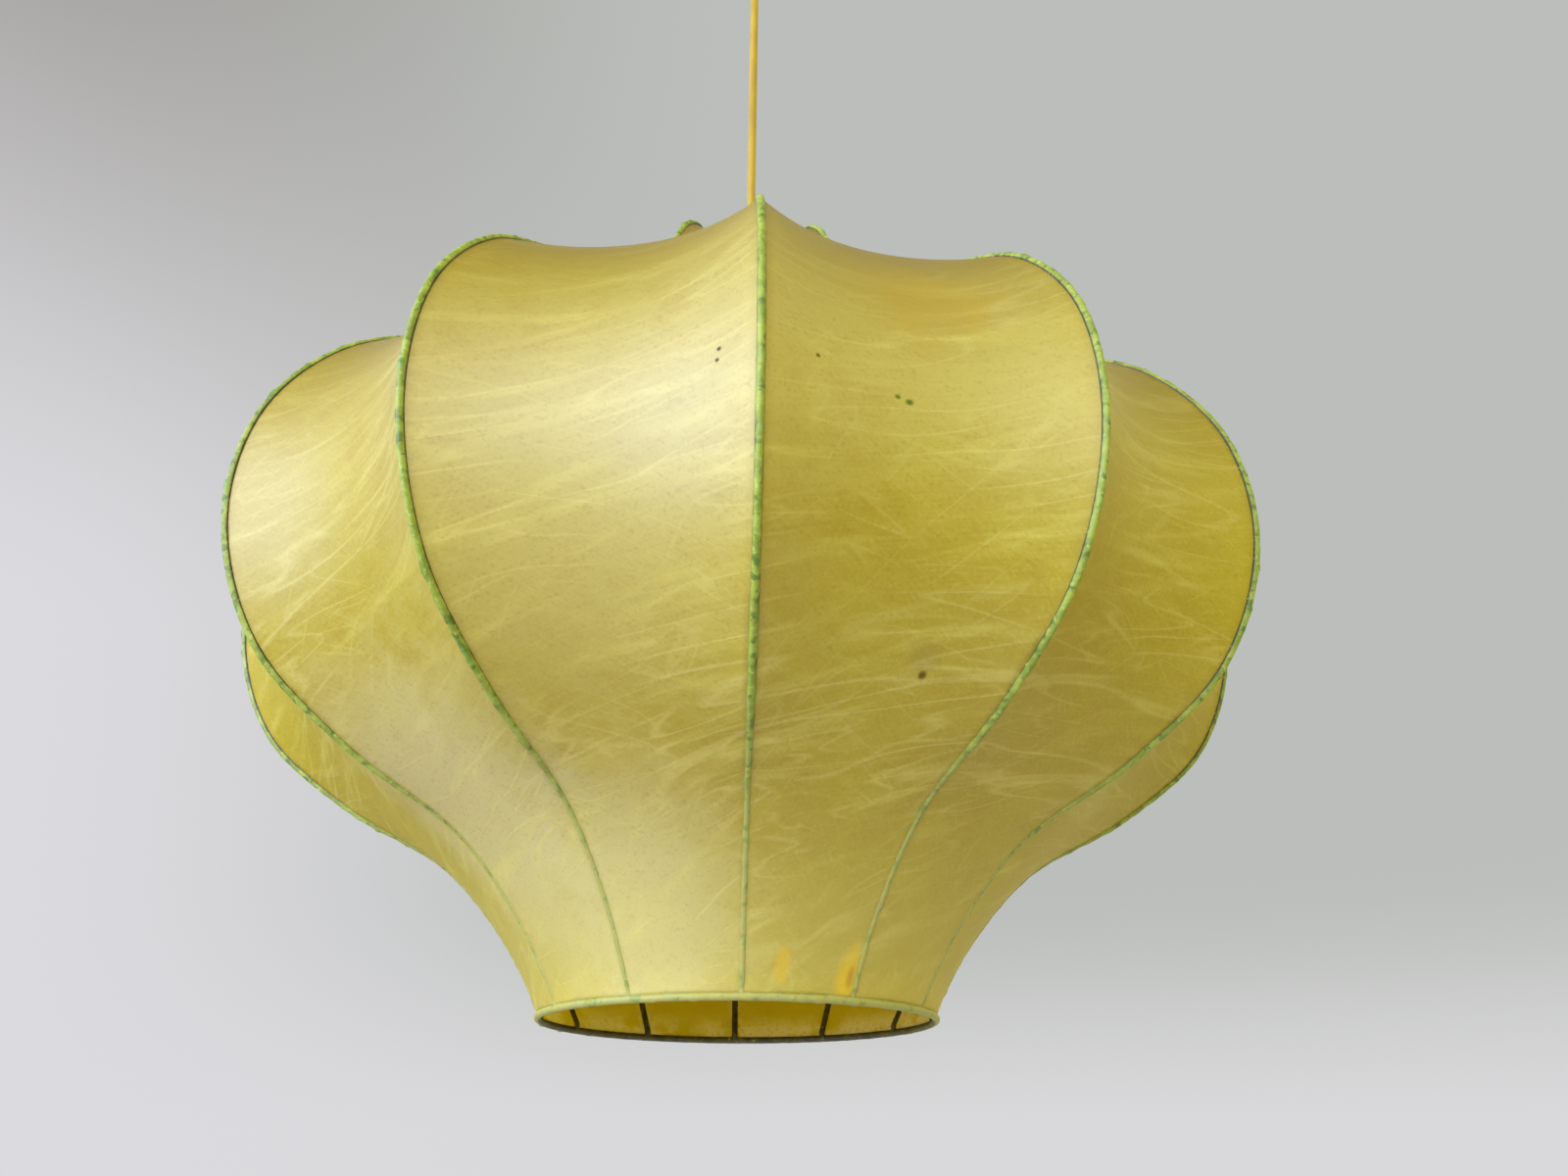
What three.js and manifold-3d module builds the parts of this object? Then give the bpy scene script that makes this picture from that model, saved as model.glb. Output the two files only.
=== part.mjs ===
// A cocoon pendant lamp: twelve bent wires welded to a bottom and a top ring, with a sprayed film drawn
// tight over them, hung by its lampholder on a flex from a ceiling cup. Millimetres, +Z up.
// The origin is the middle of the face that lies against the ceiling.
import * as THREE from 'three';
import { mergeVertices } from 'three/addons/utils/BufferGeometryUtils.js';
import Module from 'manifold-3d';

// ---- Driving dimensions ----
const RIBS = 12;
const BAY = (2 * Math.PI) / RIBS;
const DROP = 795; // from the ceiling down to the plane of the bottom ring
const GAP = 0.3; // left between pieces that touch, screw together or are welded

// The frame. Heights in the lamp are measured up from the plane of the bottom ring.
const BOTTOM_RING = 95;
const TOP_RING = 46;
const TOP_RING_HEIGHT = 436;
const RING_WIRE = 2;
const RIB_WIRE = 1.6;
const RIB_STEPS = 20;
const HOOP_SIDES = 6;
// One rib's outline as [radius, height]: mouth, flare, belly, shoulder, neck, crown and top ring.
const RIB_OUTLINE = [
  [BOTTOM_RING, 3], [115, 36], [148, 72], [201, 102], [247, 141], [269, 197], [263, 256], [233, 301],
  [192, 326], [152, 346], [116, 372], [92, 404], [77, 431], [64, 441], [54, 438],
  [TOP_RING + RING_WIRE + 2 * GAP, TOP_RING_HEIGHT],
];

// The film between two ribs
const SKIN = 0.6;
const SKIN_EDGE = RIB_WIRE + 2 * GAP;
const SKIN_COLUMNS = 4;
const SKIN_SETTLING = 400; // rounds in which the film finds its tight shape

// The lampholder, clamped in the plate that closes the top ring
const PLATE = 1.5;
const PLATE_TOP = TOP_RING_HEIGHT + PLATE / 2;
const HOLDER_BORE = 20.2;
const SKIRT = 19.6;
const SKIRT_BORE = 17.4;
const SKIRT_LENGTH = 46;
const SHELL_BORE = 13.5;

// The flex and the cup at the ceiling. Depths in the cup are measured down from the ceiling.
const FLEX = 2.8;
const FLEX_STEP = 14;
const FLEX_BORE = FLEX + 0.5;
const PIVOT_DEPTH = 60;
const CUP = 44;
const CUP_DEPTH = 60;
const CUP_WALL = 1.2;
const CUP_HOLE = 6.9;
const PLATE_DISC = 40;
const PLATE_DISC_THICK = 2.5;
const SIDE_SCREW_DEPTH = 8;

// ---- Finishes ----
function finish(color, roughness, metalness = 0) {
  return new THREE.MeshStandardMaterial({ color, roughness, metalness });
}
const film = finish(0xd9c65a, 0.45);
const coatedWire = finish(0x9fbf6d, 0.6);
const zincSteel = finish(0xb9babb, 0.35, 0.9);
const brass = finish(0xc9a655, 0.3, 0.9);
const bakelite = finish(0x1d1a18, 0.35);
const ceramic = finish(0xece8df, 0.4);
const cream = finish(0xe9e2cd, 0.45);
const yellowFlex = finish(0xe3a72c, 0.5);
const bulbGlass = finish(0xf2f4f2, 0.1);
const leadGlass = finish(0xdfe6e2, 0.15);
const tungsten = finish(0x6c6a68, 0.5, 0.8);

// ---- Ways of making a piece ----
// A closed profile of [radius, height] points, listed anticlockwise, turned about Z.
function turned(profile, sides = 20) {
  const outline = profile.map(([r, z]) => new THREE.Vector2(r, z));
  return new THREE.LatheGeometry(outline, sides).rotateX(Math.PI / 2);
}

// A tube's or a ring's profile between two radii and two heights, closed on itself.
function sleeve(inner, outer, low, high) {
  return [[inner, low], [outer, low], [outer, high], [inner, high], [inner, low]];
}

// A round bar between two heights.
function bar(radius, low, high, sides) {
  return turned([[0, low], [radius, low], [radius, high], [0, high]], sides);
}

// A round wire along a curve, with twice halfSides sides.
function wire(curve, radius, steps, halfSides) {
  const section = new THREE.Shape().absarc(0, 0, radius, 0, 2 * Math.PI);
  return new THREE.ExtrudeGeometry(section, { steps, extrudePath: curve, curveSegments: halfSides });
}

// A wire ring lying flat at a height, its centre line at a radius.
function hoop(radius, height) {
  const section = [];
  for (let i = 0; i <= HOOP_SIDES; i += 1) {
    const turn = (i / HOOP_SIDES) * 2 * Math.PI;
    section.push([radius + RING_WIRE * Math.cos(turn), height + RING_WIRE * Math.sin(turn)]);
  }
  return turned(section, 3 * RIBS);
}

const wasm = await Module();
wasm.setup();

function toSolid(geometry) {
  const plain = geometry.clone();
  plain.deleteAttribute('normal');
  plain.deleteAttribute('uv');
  const merged = mergeVertices(plain);
  const triVerts = new Uint32Array(merged.index.array);
  const vertProperties = merged.attributes.position.array;
  return new wasm.Manifold(new wasm.Mesh({ numProp: 3, vertProperties, triVerts }));
}

function toGeometry(solid) {
  const mesh = solid.getMesh();
  const geometry = new THREE.BufferGeometry();
  geometry.setAttribute('position', new THREE.BufferAttribute(mesh.vertProperties, 3));
  geometry.setIndex(new THREE.BufferAttribute(mesh.triVerts, 1));
  return geometry;
}

function cut(geometry, ...tools) {
  return toGeometry(tools.reduce((left, tool) => left.subtract(toSolid(tool)), toSolid(geometry)));
}

function join(...geometries) {
  return toGeometry(geometries.map(toSolid).reduce((whole, next) => whole.add(next)));
}

function add(group, name, geometry, material) {
  const mesh = new THREE.Mesh(geometry, material);
  mesh.name = name;
  group.add(mesh);
  return mesh;
}

// ---- The wire frame ----
const ribLine = new THREE.CatmullRomCurve3(
  RIB_OUTLINE.map(([r, z]) => new THREE.Vector3(r, 0, z)), false, 'centripetal',
);
// Steps follow the outline's points, which lie closer together where the rib bends more.
ribLine.getUtoTmapping = (u) => u;

// Rib 1 stands at the front, on -Y, and the numbers run anticlockwise seen from above.
function ribTurn(number) {
  return (number - 1) * BAY - Math.PI / 2;
}

function twoDigits(number) {
  return String(number).padStart(2, '0');
}

function wireFrame(lamp) {
  add(lamp, 'bottom_ring', hoop(BOTTOM_RING, 0), coatedWire);
  add(lamp, 'top_ring', hoop(TOP_RING, TOP_RING_HEIGHT), coatedWire);
  for (let number = 1; number <= RIBS; number += 1) {
    const rib = add(lamp, `rib_${twoDigits(number)}`, wire(ribLine, RIB_WIRE, RIB_STEPS, 3), coatedWire);
    rib.rotation.z = ribTurn(number);
  }
}

// ---- The film ----
// A grid of points from one rib to the next, about +X. The two edges run along the ribs and the two ends
// along the rings. Every point between them moves to where the pull of its four neighbours balances, each
// neighbour pulling with the width of film it carries over its distance, as a film under even tension does.
function tightFilm() {
  const grid = [];
  for (let i = 0; i <= RIB_STEPS; i += 1) {
    const { x: radius, z: height } = ribLine.getPoint(i / RIB_STEPS);
    const reach = BAY / 2 - Math.asin(SKIN_EDGE / radius);
    const onRing = i === 0 || i === RIB_STEPS;
    const row = [];
    for (let j = 0; j <= SKIN_COLUMNS; j += 1) {
      const share = (2 * j) / SKIN_COLUMNS - 1;
      const arc = new THREE.Vector3(Math.cos(share * reach), Math.sin(share * reach), 0);
      const chord = new THREE.Vector3(Math.cos(reach), share * Math.sin(reach), 0);
      row.push((onRing ? arc : chord).multiplyScalar(radius).setZ(height));
    }
    grid.push(row);
  }
  for (let round = 0; round < SKIN_SETTLING; round += 1) {
    for (let i = 1; i < RIB_STEPS; i += 1) {
      for (let j = 1; j < SKIN_COLUMNS; j += 1) {
        const across = [grid[i][j - 1], grid[i][j + 1]];
        const along = [grid[i - 1][j], grid[i + 1][j]];
        const width = along[0].distanceTo(along[1]);
        const length = across[0].distanceTo(across[1]);
        const pulled = new THREE.Vector3();
        let total = 0;
        const pull = (neighbour, carried) => {
          const strength = carried / neighbour.distanceTo(grid[i][j]);
          pulled.addScaledVector(neighbour, strength);
          total += strength;
        };
        across.forEach((neighbour) => pull(neighbour, width));
        along.forEach((neighbour) => pull(neighbour, length));
        grid[i][j].copy(pulled.divideScalar(total));
      }
    }
  }
  return grid;
}

// The grid as a closed sheet, half its thickness to each side.
function thickened(grid, thickness) {
  const rows = grid.length;
  const columns = grid[0].length;
  const at = (i, j) => grid[Math.min(Math.max(i, 0), rows - 1)][Math.min(Math.max(j, 0), columns - 1)];
  const positions = [];
  [1, -1].forEach((side) => {
    for (let i = 0; i < rows; i += 1) {
      for (let j = 0; j < columns; j += 1) {
        const across = at(i, j + 1).clone().sub(at(i, j - 1));
        const along = at(i + 1, j).clone().sub(at(i - 1, j));
        const outward = across.cross(along).normalize();
        positions.push(...at(i, j).clone().addScaledVector(outward, (side * thickness) / 2));
      }
    }
  });
  const faces = [];
  const quad = (a, b, c, d) => faces.push(a, b, c, a, c, d);
  const outer = (i, j) => i * columns + j;
  const inner = (i, j) => rows * columns + outer(i, j);
  for (let i = 1; i < rows; i += 1) {
    for (let j = 1; j < columns; j += 1) {
      quad(outer(i - 1, j - 1), outer(i - 1, j), outer(i, j), outer(i, j - 1));
      quad(inner(i - 1, j - 1), inner(i, j - 1), inner(i, j), inner(i - 1, j));
    }
  }
  for (let i = 1; i < rows; i += 1) {
    quad(inner(i - 1, 0), outer(i - 1, 0), outer(i, 0), inner(i, 0));
    quad(outer(i - 1, columns - 1), inner(i - 1, columns - 1), inner(i, columns - 1), outer(i, columns - 1));
  }
  for (let j = 1; j < columns; j += 1) {
    quad(inner(0, j - 1), inner(0, j), outer(0, j), outer(0, j - 1));
    quad(outer(rows - 1, j - 1), outer(rows - 1, j), inner(rows - 1, j), inner(rows - 1, j - 1));
  }
  const geometry = new THREE.BufferGeometry();
  geometry.setAttribute('position', new THREE.Float32BufferAttribute(positions, 3));
  geometry.setIndex(faces);
  return geometry;
}

function skin(lamp) {
  const panel = thickened(tightFilm(), SKIN);
  for (let number = 1; number <= RIBS; number += 1) {
    const placed = add(lamp, `skin_panel_${twoDigits(number)}`, panel, film);
    placed.rotation.z = ribTurn(number) + BAY / 2;
  }
}

// ---- The lampholder ----
function lampholder(lamp) {
  const plate = sleeve(HOLDER_BORE, TOP_RING - RING_WIRE - GAP, PLATE_TOP - PLATE, PLATE_TOP);
  add(lamp, 'top_plate', turned(plate, 2 * RIBS), zincSteel);

  // The cap's rim rests on the plate, and the skirt screws up into it through the plate's hole.
  const rim = PLATE_TOP + GAP;
  const cap = [
    [20, rim], [24, rim], [24, rim + 3], [22.4, rim + 4], [22, rim + 16], [19, rim + 25], [12, rim + 30],
    [8, rim + 31], [8, rim + 33], [6.4, rim + 33], [6.4, rim + 28.5], [11, rim + 27.5], [16, rim + 23.5],
    [17.6, rim + 16], [17.6, rim + 11], [20, rim + 11], [20, rim],
  ];
  add(lamp, 'holder_cap', turned(cap), bakelite);

  const skirtTop = rim + 11 - GAP;
  const skirtEnd = skirtTop - SKIRT_LENGTH;
  const skirt = [
    [SHELL_BORE + 1.5, skirtEnd], [SKIRT - 1, skirtEnd], [SKIRT, skirtEnd + 1], [SKIRT, skirtTop],
    [SKIRT_BORE, skirtTop], [SKIRT_BORE, skirtEnd + 2], [SHELL_BORE + 1.5, skirtEnd + 2],
    [SHELL_BORE + 1.5, skirtEnd],
  ];
  add(lamp, 'holder_skirt', turned(skirt), bakelite);

  const ringTop = PLATE_TOP - PLATE - GAP;
  const clampRing = [
    [SKIRT + GAP, ringTop - 5], [26, ringTop - 5], [29, ringTop - 1.5], [29, ringTop],
    [SKIRT + GAP, ringTop], [SKIRT + GAP, ringTop - 5],
  ];
  add(lamp, 'shade_ring', turned(clampRing), bakelite);

  const coreEnd = skirtTop - 14;
  add(lamp, 'ceramic_core', bar(SKIRT_BORE - GAP, coreEnd, skirtTop - 1, 24), ceramic);
  const shell = sleeve(SHELL_BORE, SHELL_BORE + 0.7, skirtEnd + 4, coreEnd - GAP);
  add(lamp, 'screw_shell', turned(shell), brass);

  // A sprung tongue that presses on the bulb's tip.
  const tongue = new THREE.Shape();
  tongue.moveTo(-7, coreEnd - GAP);
  tongue.lineTo(-7, coreEnd - GAP - 0.8);
  tongue.lineTo(-3, coreEnd - GAP - 0.8);
  tongue.lineTo(-1, coreEnd - 3.2);
  tongue.lineTo(3, coreEnd - 3.2);
  tongue.lineTo(3, coreEnd - 2.4);
  tongue.lineTo(-0.6, coreEnd - 2.4);
  tongue.lineTo(-2.6, coreEnd - GAP);
  tongue.closePath();
  const contact = new THREE.ExtrudeGeometry(tongue, { depth: 5, bevelEnabled: false });
  contact.translate(0, 0, -2.5).rotateX(Math.PI / 2);
  add(lamp, 'centre_contact', contact, brass);

  // The grip screws down into the cap, and its side screw holds the flex.
  const gripEnd = rim + 28.5;
  const gripTop = rim + 46;
  const grip = [
    [FLEX_BORE, gripEnd], [6.1, gripEnd], [6.1, rim + 33 + GAP], [7.5, rim + 33 + GAP], [7.5, gripTop - 3],
    [5.5, gripTop], [FLEX_BORE, gripTop], [FLEX_BORE, gripEnd],
  ];
  const screwHeight = gripTop - 7;
  const hole = bar(1.8, FLEX, 9, 12).rotateY(Math.PI / 2).translate(0, 0, screwHeight);
  add(lamp, 'cord_grip', cut(turned(grip), hole), cream);
  const gripScrew = [[0, FLEX + GAP], [1.5, FLEX + GAP], [1.5, 8], [2.6, 8], [2.6, 9.6], [0, 9.6]];
  const placedScrew = turned(gripScrew, 12).rotateY(Math.PI / 2).translate(0, 0, screwHeight);
  add(lamp, 'grip_screw', placedScrew, zincSteel);

  return { contactFace: coreEnd - 3.2, flexEnd: gripEnd - 4, flexTop: DROP - PIVOT_DEPTH };
}

// ---- The bulb, screwed up into the holder from below ----
function bulb(lamp, tipTop) {
  const tipEnd = tipTop - 1.6;
  const tip = [[0, tipEnd], [4.5, tipEnd], [4, tipTop - 0.4], [2, tipTop], [0, tipTop]];
  add(lamp, 'bulb_tip', turned(tip, 16), zincSteel);

  const capTop = tipEnd - GAP;
  const capEnd = capTop - 24;
  const cap = [
    [12.3, capEnd], [13, capEnd], [13, capTop - 6], [9, capTop - 1], [5, capTop], [0, capTop],
    [0, capTop - 3], [8, capTop - 4], [12.3, capTop - 8], [12.3, capEnd],
  ];
  add(lamp, 'bulb_cap', turned(cap), brass);

  // The glass is open at its neck, inside the cap.
  const neckTop = capTop - 9;
  const globe = 29.5;
  const centre = capEnd - 51;
  const glassWall = 0.9;
  const neck = 11.8;
  const shape = (inset) => {
    const points = [[0, centre - globe + inset]];
    for (let step = 1; step <= 6; step += 1) {
      const turn = (step / 6) * 0.66 * Math.PI;
      points.push([(globe - inset) * Math.sin(turn), centre - (globe - inset) * Math.cos(turn)]);
    }
    points.push([17.5 - inset, centre + 31], [neck + 1 - inset, centre + 43]);
    points.push([neck - inset, capEnd], [neck - inset, neckTop]);
    return points;
  };
  const wall = [...shape(0), ...shape(glassWall).reverse()];
  add(lamp, 'bulb_glass', turned(wall, 16), bulbGlass);

  const stemFoot = neckTop - 1;
  const stem = [
    [0, stemFoot - 42], [1.6, stemFoot - 42], [2.4, stemFoot - 40], [2, stemFoot - 34], [3.4, stemFoot - 24],
    [4, stemFoot - 10], [neck - glassWall - 2 * GAP, stemFoot - 2], [neck - glassWall - 2 * GAP, stemFoot],
    [0, stemFoot],
  ];
  add(lamp, 'bulb_stem', turned(stem, 16), leadGlass);

  // Two leads and the coil between them are one bent wire, kept clear below the stem's button.
  const low = stemFoot - 46;
  const bends = [
    [-5.5, 0, stemFoot - 26], [-8, 0, low + 8], [-11, 0, low], [-6, 6, low - 1], [0, 8, low - 1.5],
    [6, 6, low - 1], [11, 0, low], [8, 0, low + 8], [5.5, 0, stemFoot - 26],
  ];
  const filamentLine = new THREE.CatmullRomCurve3(
    bends.map(([x, y, z]) => new THREE.Vector3(x, y, z)), false, 'centripetal',
  );
  add(lamp, 'bulb_filament', wire(filamentLine, 0.4, 24, 2), tungsten);
}

// ---- The flex and the ceiling fitting ----
function flexBetween(low, high) {
  const line = new THREE.LineCurve3(new THREE.Vector3(0, 0, low), new THREE.Vector3(0, 0, high));
  return wire(line, FLEX, Math.ceil((high - low) / FLEX_STEP), 4);
}

function cupProfile() {
  const last = Math.acos(CUP_HOLE / CUP);
  const arc = (inset, steps) => Array.from({ length: steps + 1 }, (_, i) => {
    const turn = THREE.MathUtils.lerp(last, 0.03, i / steps);
    const radius = Math.max(CUP_HOLE, (CUP - inset) * Math.cos(turn));
    return [radius, -(CUP_DEPTH - inset) * Math.sin(turn)];
  });
  const outside = arc(0, 7);
  return [...outside, ...arc(CUP_WALL, 7).reverse(), outside[0]];
}

function ceilingFitting(ceiling) {
  const disc = new THREE.Shape().absarc(0, 0, PLATE_DISC, 0, 2 * Math.PI);
  const fixing = 24;
  [-fixing, fixing].forEach((x) => disc.holes.push(new THREE.Path().absarc(x, 0, 2.4, 0, 2 * Math.PI)));
  const flat = new THREE.ExtrudeGeometry(disc, {
    depth: PLATE_DISC_THICK, bevelEnabled: false, curveSegments: 12,
  }).translate(0, 0, -PLATE_DISC_THICK);
  const lugReach = PLATE_DISC - 2;
  const lugs = [-1, 1].map((side) => new THREE.BoxGeometry(2, 9, 12).translate(side * lugReach, 0, -7.5));
  const sideHole = bar(1.7, -CUP - 1, CUP + 1, 12).rotateY(Math.PI / 2).translate(0, 0, -SIDE_SCREW_DEPTH);
  add(ceiling, 'ceiling_plate', cut(join(flat, ...lugs), sideHole), zincSteel);
  add(ceiling, 'ceiling_cup', cut(turned(cupProfile(), 28), sideHole), cream);

  const seat = -PLATE_DISC_THICK - GAP;
  [1, 2].forEach((number) => {
    const side = number === 1 ? -1 : 1;
    const screw = [[0, seat - 2.2], [3, seat - 2.2], [4.4, seat], [2.1, seat], [2.1, -0.5], [0, -0.5]];
    add(ceiling, `plate_screw_${number}`, turned(screw, 12).translate(side * fixing, 0, 0), zincSteel);
    const sideScrew = [[0, 35], [1.4, 35], [1.4, CUP], [3.4, CUP], [3.4, CUP + 1.8], [0, CUP + 1.8]];
    const turnedIn = turned(sideScrew, 12).rotateY((side * Math.PI) / 2);
    add(ceiling, `cup_screw_${number}`, turnedIn.translate(0, 0, -SIDE_SCREW_DEPTH), zincSteel);
  });

  const blockTop = seat;
  const blockEnd = blockTop - 13;
  const wells = [-5, 5].map((y) => bar(2, blockEnd - 1, blockEnd + 7, 12).translate(0, y, 0));
  const block = new THREE.BoxGeometry(16, 20, 13).translate(0, 0, (blockTop + blockEnd) / 2);
  add(ceiling, 'terminal_block', cut(block, ...wells), ceramic);
  [1, 2].forEach((number) => {
    const screw = bar(1.7, blockEnd + 0.5, blockEnd + 7 - GAP, 12).translate(0, number === 1 ? -5 : 5, 0);
    add(ceiling, `terminal_screw_${number}`, screw, brass);
  });

  // The bush hangs in the cup's hole by its flange, with a nut below. Its mouth flares so that the flex
  // can lean to every side.
  const flange = -CUP_DEPTH + 3.2;
  const bush = [
    [FLEX_BORE, flange + 3.5], [FLEX_BORE, -PIVOT_DEPTH + 1], [5.6, -PIVOT_DEPTH - 6], [6.4, -PIVOT_DEPTH - 6],
    [6.4, flange], [10, flange], [10, flange + 3.5], [FLEX_BORE, flange + 3.5],
  ];
  add(ceiling, 'cup_bush', turned(bush), cream);
  add(ceiling, 'bush_nut', turned(sleeve(6.4 + GAP, 10, -CUP_DEPTH - 5, -CUP_DEPTH - GAP)), cream);
  add(ceiling, 'flex_tail', flexBetween(-PIVOT_DEPTH + 1.2, blockEnd - GAP), yellowFlex);
}

// ---- The whole lamp ----
const pendant = new THREE.Group();
const lamp = new THREE.Group();
lamp.position.z = -DROP;
pendant.add(lamp);

wireFrame(lamp);
skin(lamp);
const { contactFace, flexEnd, flexTop } = lampholder(lamp);
bulb(lamp, contactFace - GAP);
add(lamp, 'flex_cord', flexBetween(flexEnd, flexTop), yellowFlex);
ceilingFitting(pendant);

export default pendant;
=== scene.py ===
# %% [markdown]
# # A cocoon pendant lamp
# Twelve bent wires stand on a bottom ring and meet at a top ring. Threads of lacquer were sprayed round
# them while the frame turned, and the film that they made drew itself tight as it dried. The lamp hangs
# by its lampholder on a yellow flex from a cup at the ceiling.
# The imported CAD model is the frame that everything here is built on: it says where each piece is.

# %% Load the frame
import math

import bmesh
import bpy
import numpy as np
from mathutils import Matrix, Vector


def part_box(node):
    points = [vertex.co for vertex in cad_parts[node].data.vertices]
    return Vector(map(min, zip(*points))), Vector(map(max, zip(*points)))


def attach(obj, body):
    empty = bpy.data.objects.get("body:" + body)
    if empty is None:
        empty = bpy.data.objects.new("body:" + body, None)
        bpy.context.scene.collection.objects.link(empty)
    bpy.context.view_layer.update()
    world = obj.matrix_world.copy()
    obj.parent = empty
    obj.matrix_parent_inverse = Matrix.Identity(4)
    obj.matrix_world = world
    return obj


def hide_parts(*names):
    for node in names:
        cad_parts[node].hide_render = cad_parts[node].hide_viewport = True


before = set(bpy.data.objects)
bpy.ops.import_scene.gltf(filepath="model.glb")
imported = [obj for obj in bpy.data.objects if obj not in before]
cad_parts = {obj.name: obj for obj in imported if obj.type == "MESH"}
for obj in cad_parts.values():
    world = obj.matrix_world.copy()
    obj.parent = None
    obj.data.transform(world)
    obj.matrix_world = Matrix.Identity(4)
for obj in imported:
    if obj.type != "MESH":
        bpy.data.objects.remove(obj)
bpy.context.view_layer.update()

# %% [markdown]
# ## The camera and the light
# The lamp is looked at from a little below its mouth, so the camera stands lower than the lamp and looks
# up. Its matrix is built from three directions: to the right, over the top, and ahead.

# %% The camera
camera_place = (-0.010167, -0.63270, -0.86068)
focal_length = 28.59
heading, pitch, roll = np.radians([2.909, 25.128, 0.099])
ahead = np.array([np.sin(heading) * np.cos(pitch), np.cos(heading) * np.cos(pitch), np.sin(pitch)])
level = np.array([np.cos(heading), -np.sin(heading), 0.0])
upright = np.cross(level, ahead)
right = level * np.cos(roll) + upright * np.sin(roll)
over = upright * np.cos(roll) - level * np.sin(roll)

camera = bpy.data.objects.new("camera", bpy.data.cameras.new("camera"))
camera.data.lens = focal_length
camera.data.clip_start = 0.01
bpy.context.scene.collection.objects.link(camera)
turn = np.column_stack([right, over, -ahead])
camera.matrix_world = Matrix.Translation(camera_place) @ Matrix(turn.tolist()).to_4x4()
bpy.context.scene.camera = camera
print("the camera looks up by", round(math.degrees(pitch), 1), "degrees")

# %% [markdown]
# A room with a big window on the left and another further off in front gives the soft light that such a
# lamp is made for. A wide area light stands for each window, and the world's colour for the walls round
# them. Area lights are used because their size makes the soft edges.

# %% The light
lamp_middle = Vector((0.0, 0.0, -0.57))


def paint(red, green, blue):
    """A colour given as eight-bit screen values, as the light values that the shaders use."""
    screen = np.array([red, green, blue]) / 255
    light = np.where(screen <= 0.04045, screen / 12.92, ((screen + 0.055) / 1.055) ** 2.4)
    return (*light.tolist(), 1.0)


def window(name, place, width, height, power, colour):
    """A soft rectangular light that faces the middle of the lamp."""
    light = bpy.data.lights.new(name, "AREA")
    light.shape = "RECTANGLE"
    light.size, light.size_y = width, height
    light.energy = power
    light.color = colour
    holder = bpy.data.objects.new(name, light)
    holder.location = place
    holder.rotation_mode = "QUATERNION"
    holder.rotation_quaternion = (lamp_middle - Vector(place)).to_track_quat("-Z", "Y")
    bpy.context.scene.collection.objects.link(holder)
    print(f"{name}: {width} by {height} m, {power} W")


window("window", (-2.65, -1.55, 0.1), 2.4, 2.4, 118, (0.84, 0.97, 1.75))
window("far_window", (-0.9, -3.3, 0.35), 2.6, 1.8, 84, (0.86, 0.97, 1.36))

# %% [markdown]
# ## A small language for shaders
# A material is a graph of nodes. Written as Python expressions it reads like a sum, so one class wraps a
# socket and turns each operator into a Math node. Everything else comes from one method, `node`.

# %% Sockets that can be added and multiplied
class Value:
    """A socket of a material's graph. Operators on it add Math nodes."""

    def __init__(self, finish, socket):
        self.finish, self.socket = finish, socket

    def maths(self, operation, first, second=0.0, **more):
        return self.finish.maths(operation, first, second, **more)

    def __add__(self, other):
        return self.maths("ADD", self, other)

    def __radd__(self, other):
        return self.maths("ADD", other, self)

    def __sub__(self, other):
        return self.maths("SUBTRACT", self, other)

    def __rsub__(self, other):
        return self.maths("SUBTRACT", other, self)

    def __mul__(self, other):
        return self.maths("MULTIPLY", self, other)

    def __rmul__(self, other):
        return self.maths("MULTIPLY", other, self)

    def __truediv__(self, other):
        return self.maths("DIVIDE", self, other)

    def clamped(self):
        """The same value, kept between 0 and 1."""
        return self.maths("ADD", self, 0.0, use_clamp=True)

    def between(self, low, high):
        """0 below low, 1 above high and a soft step between them."""
        settings = {"interpolation_type": "SMOOTHSTEP"}
        return self.finish.node("MapRange", settings, {"Value": self, "From Min": low, "From Max": high})


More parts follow.
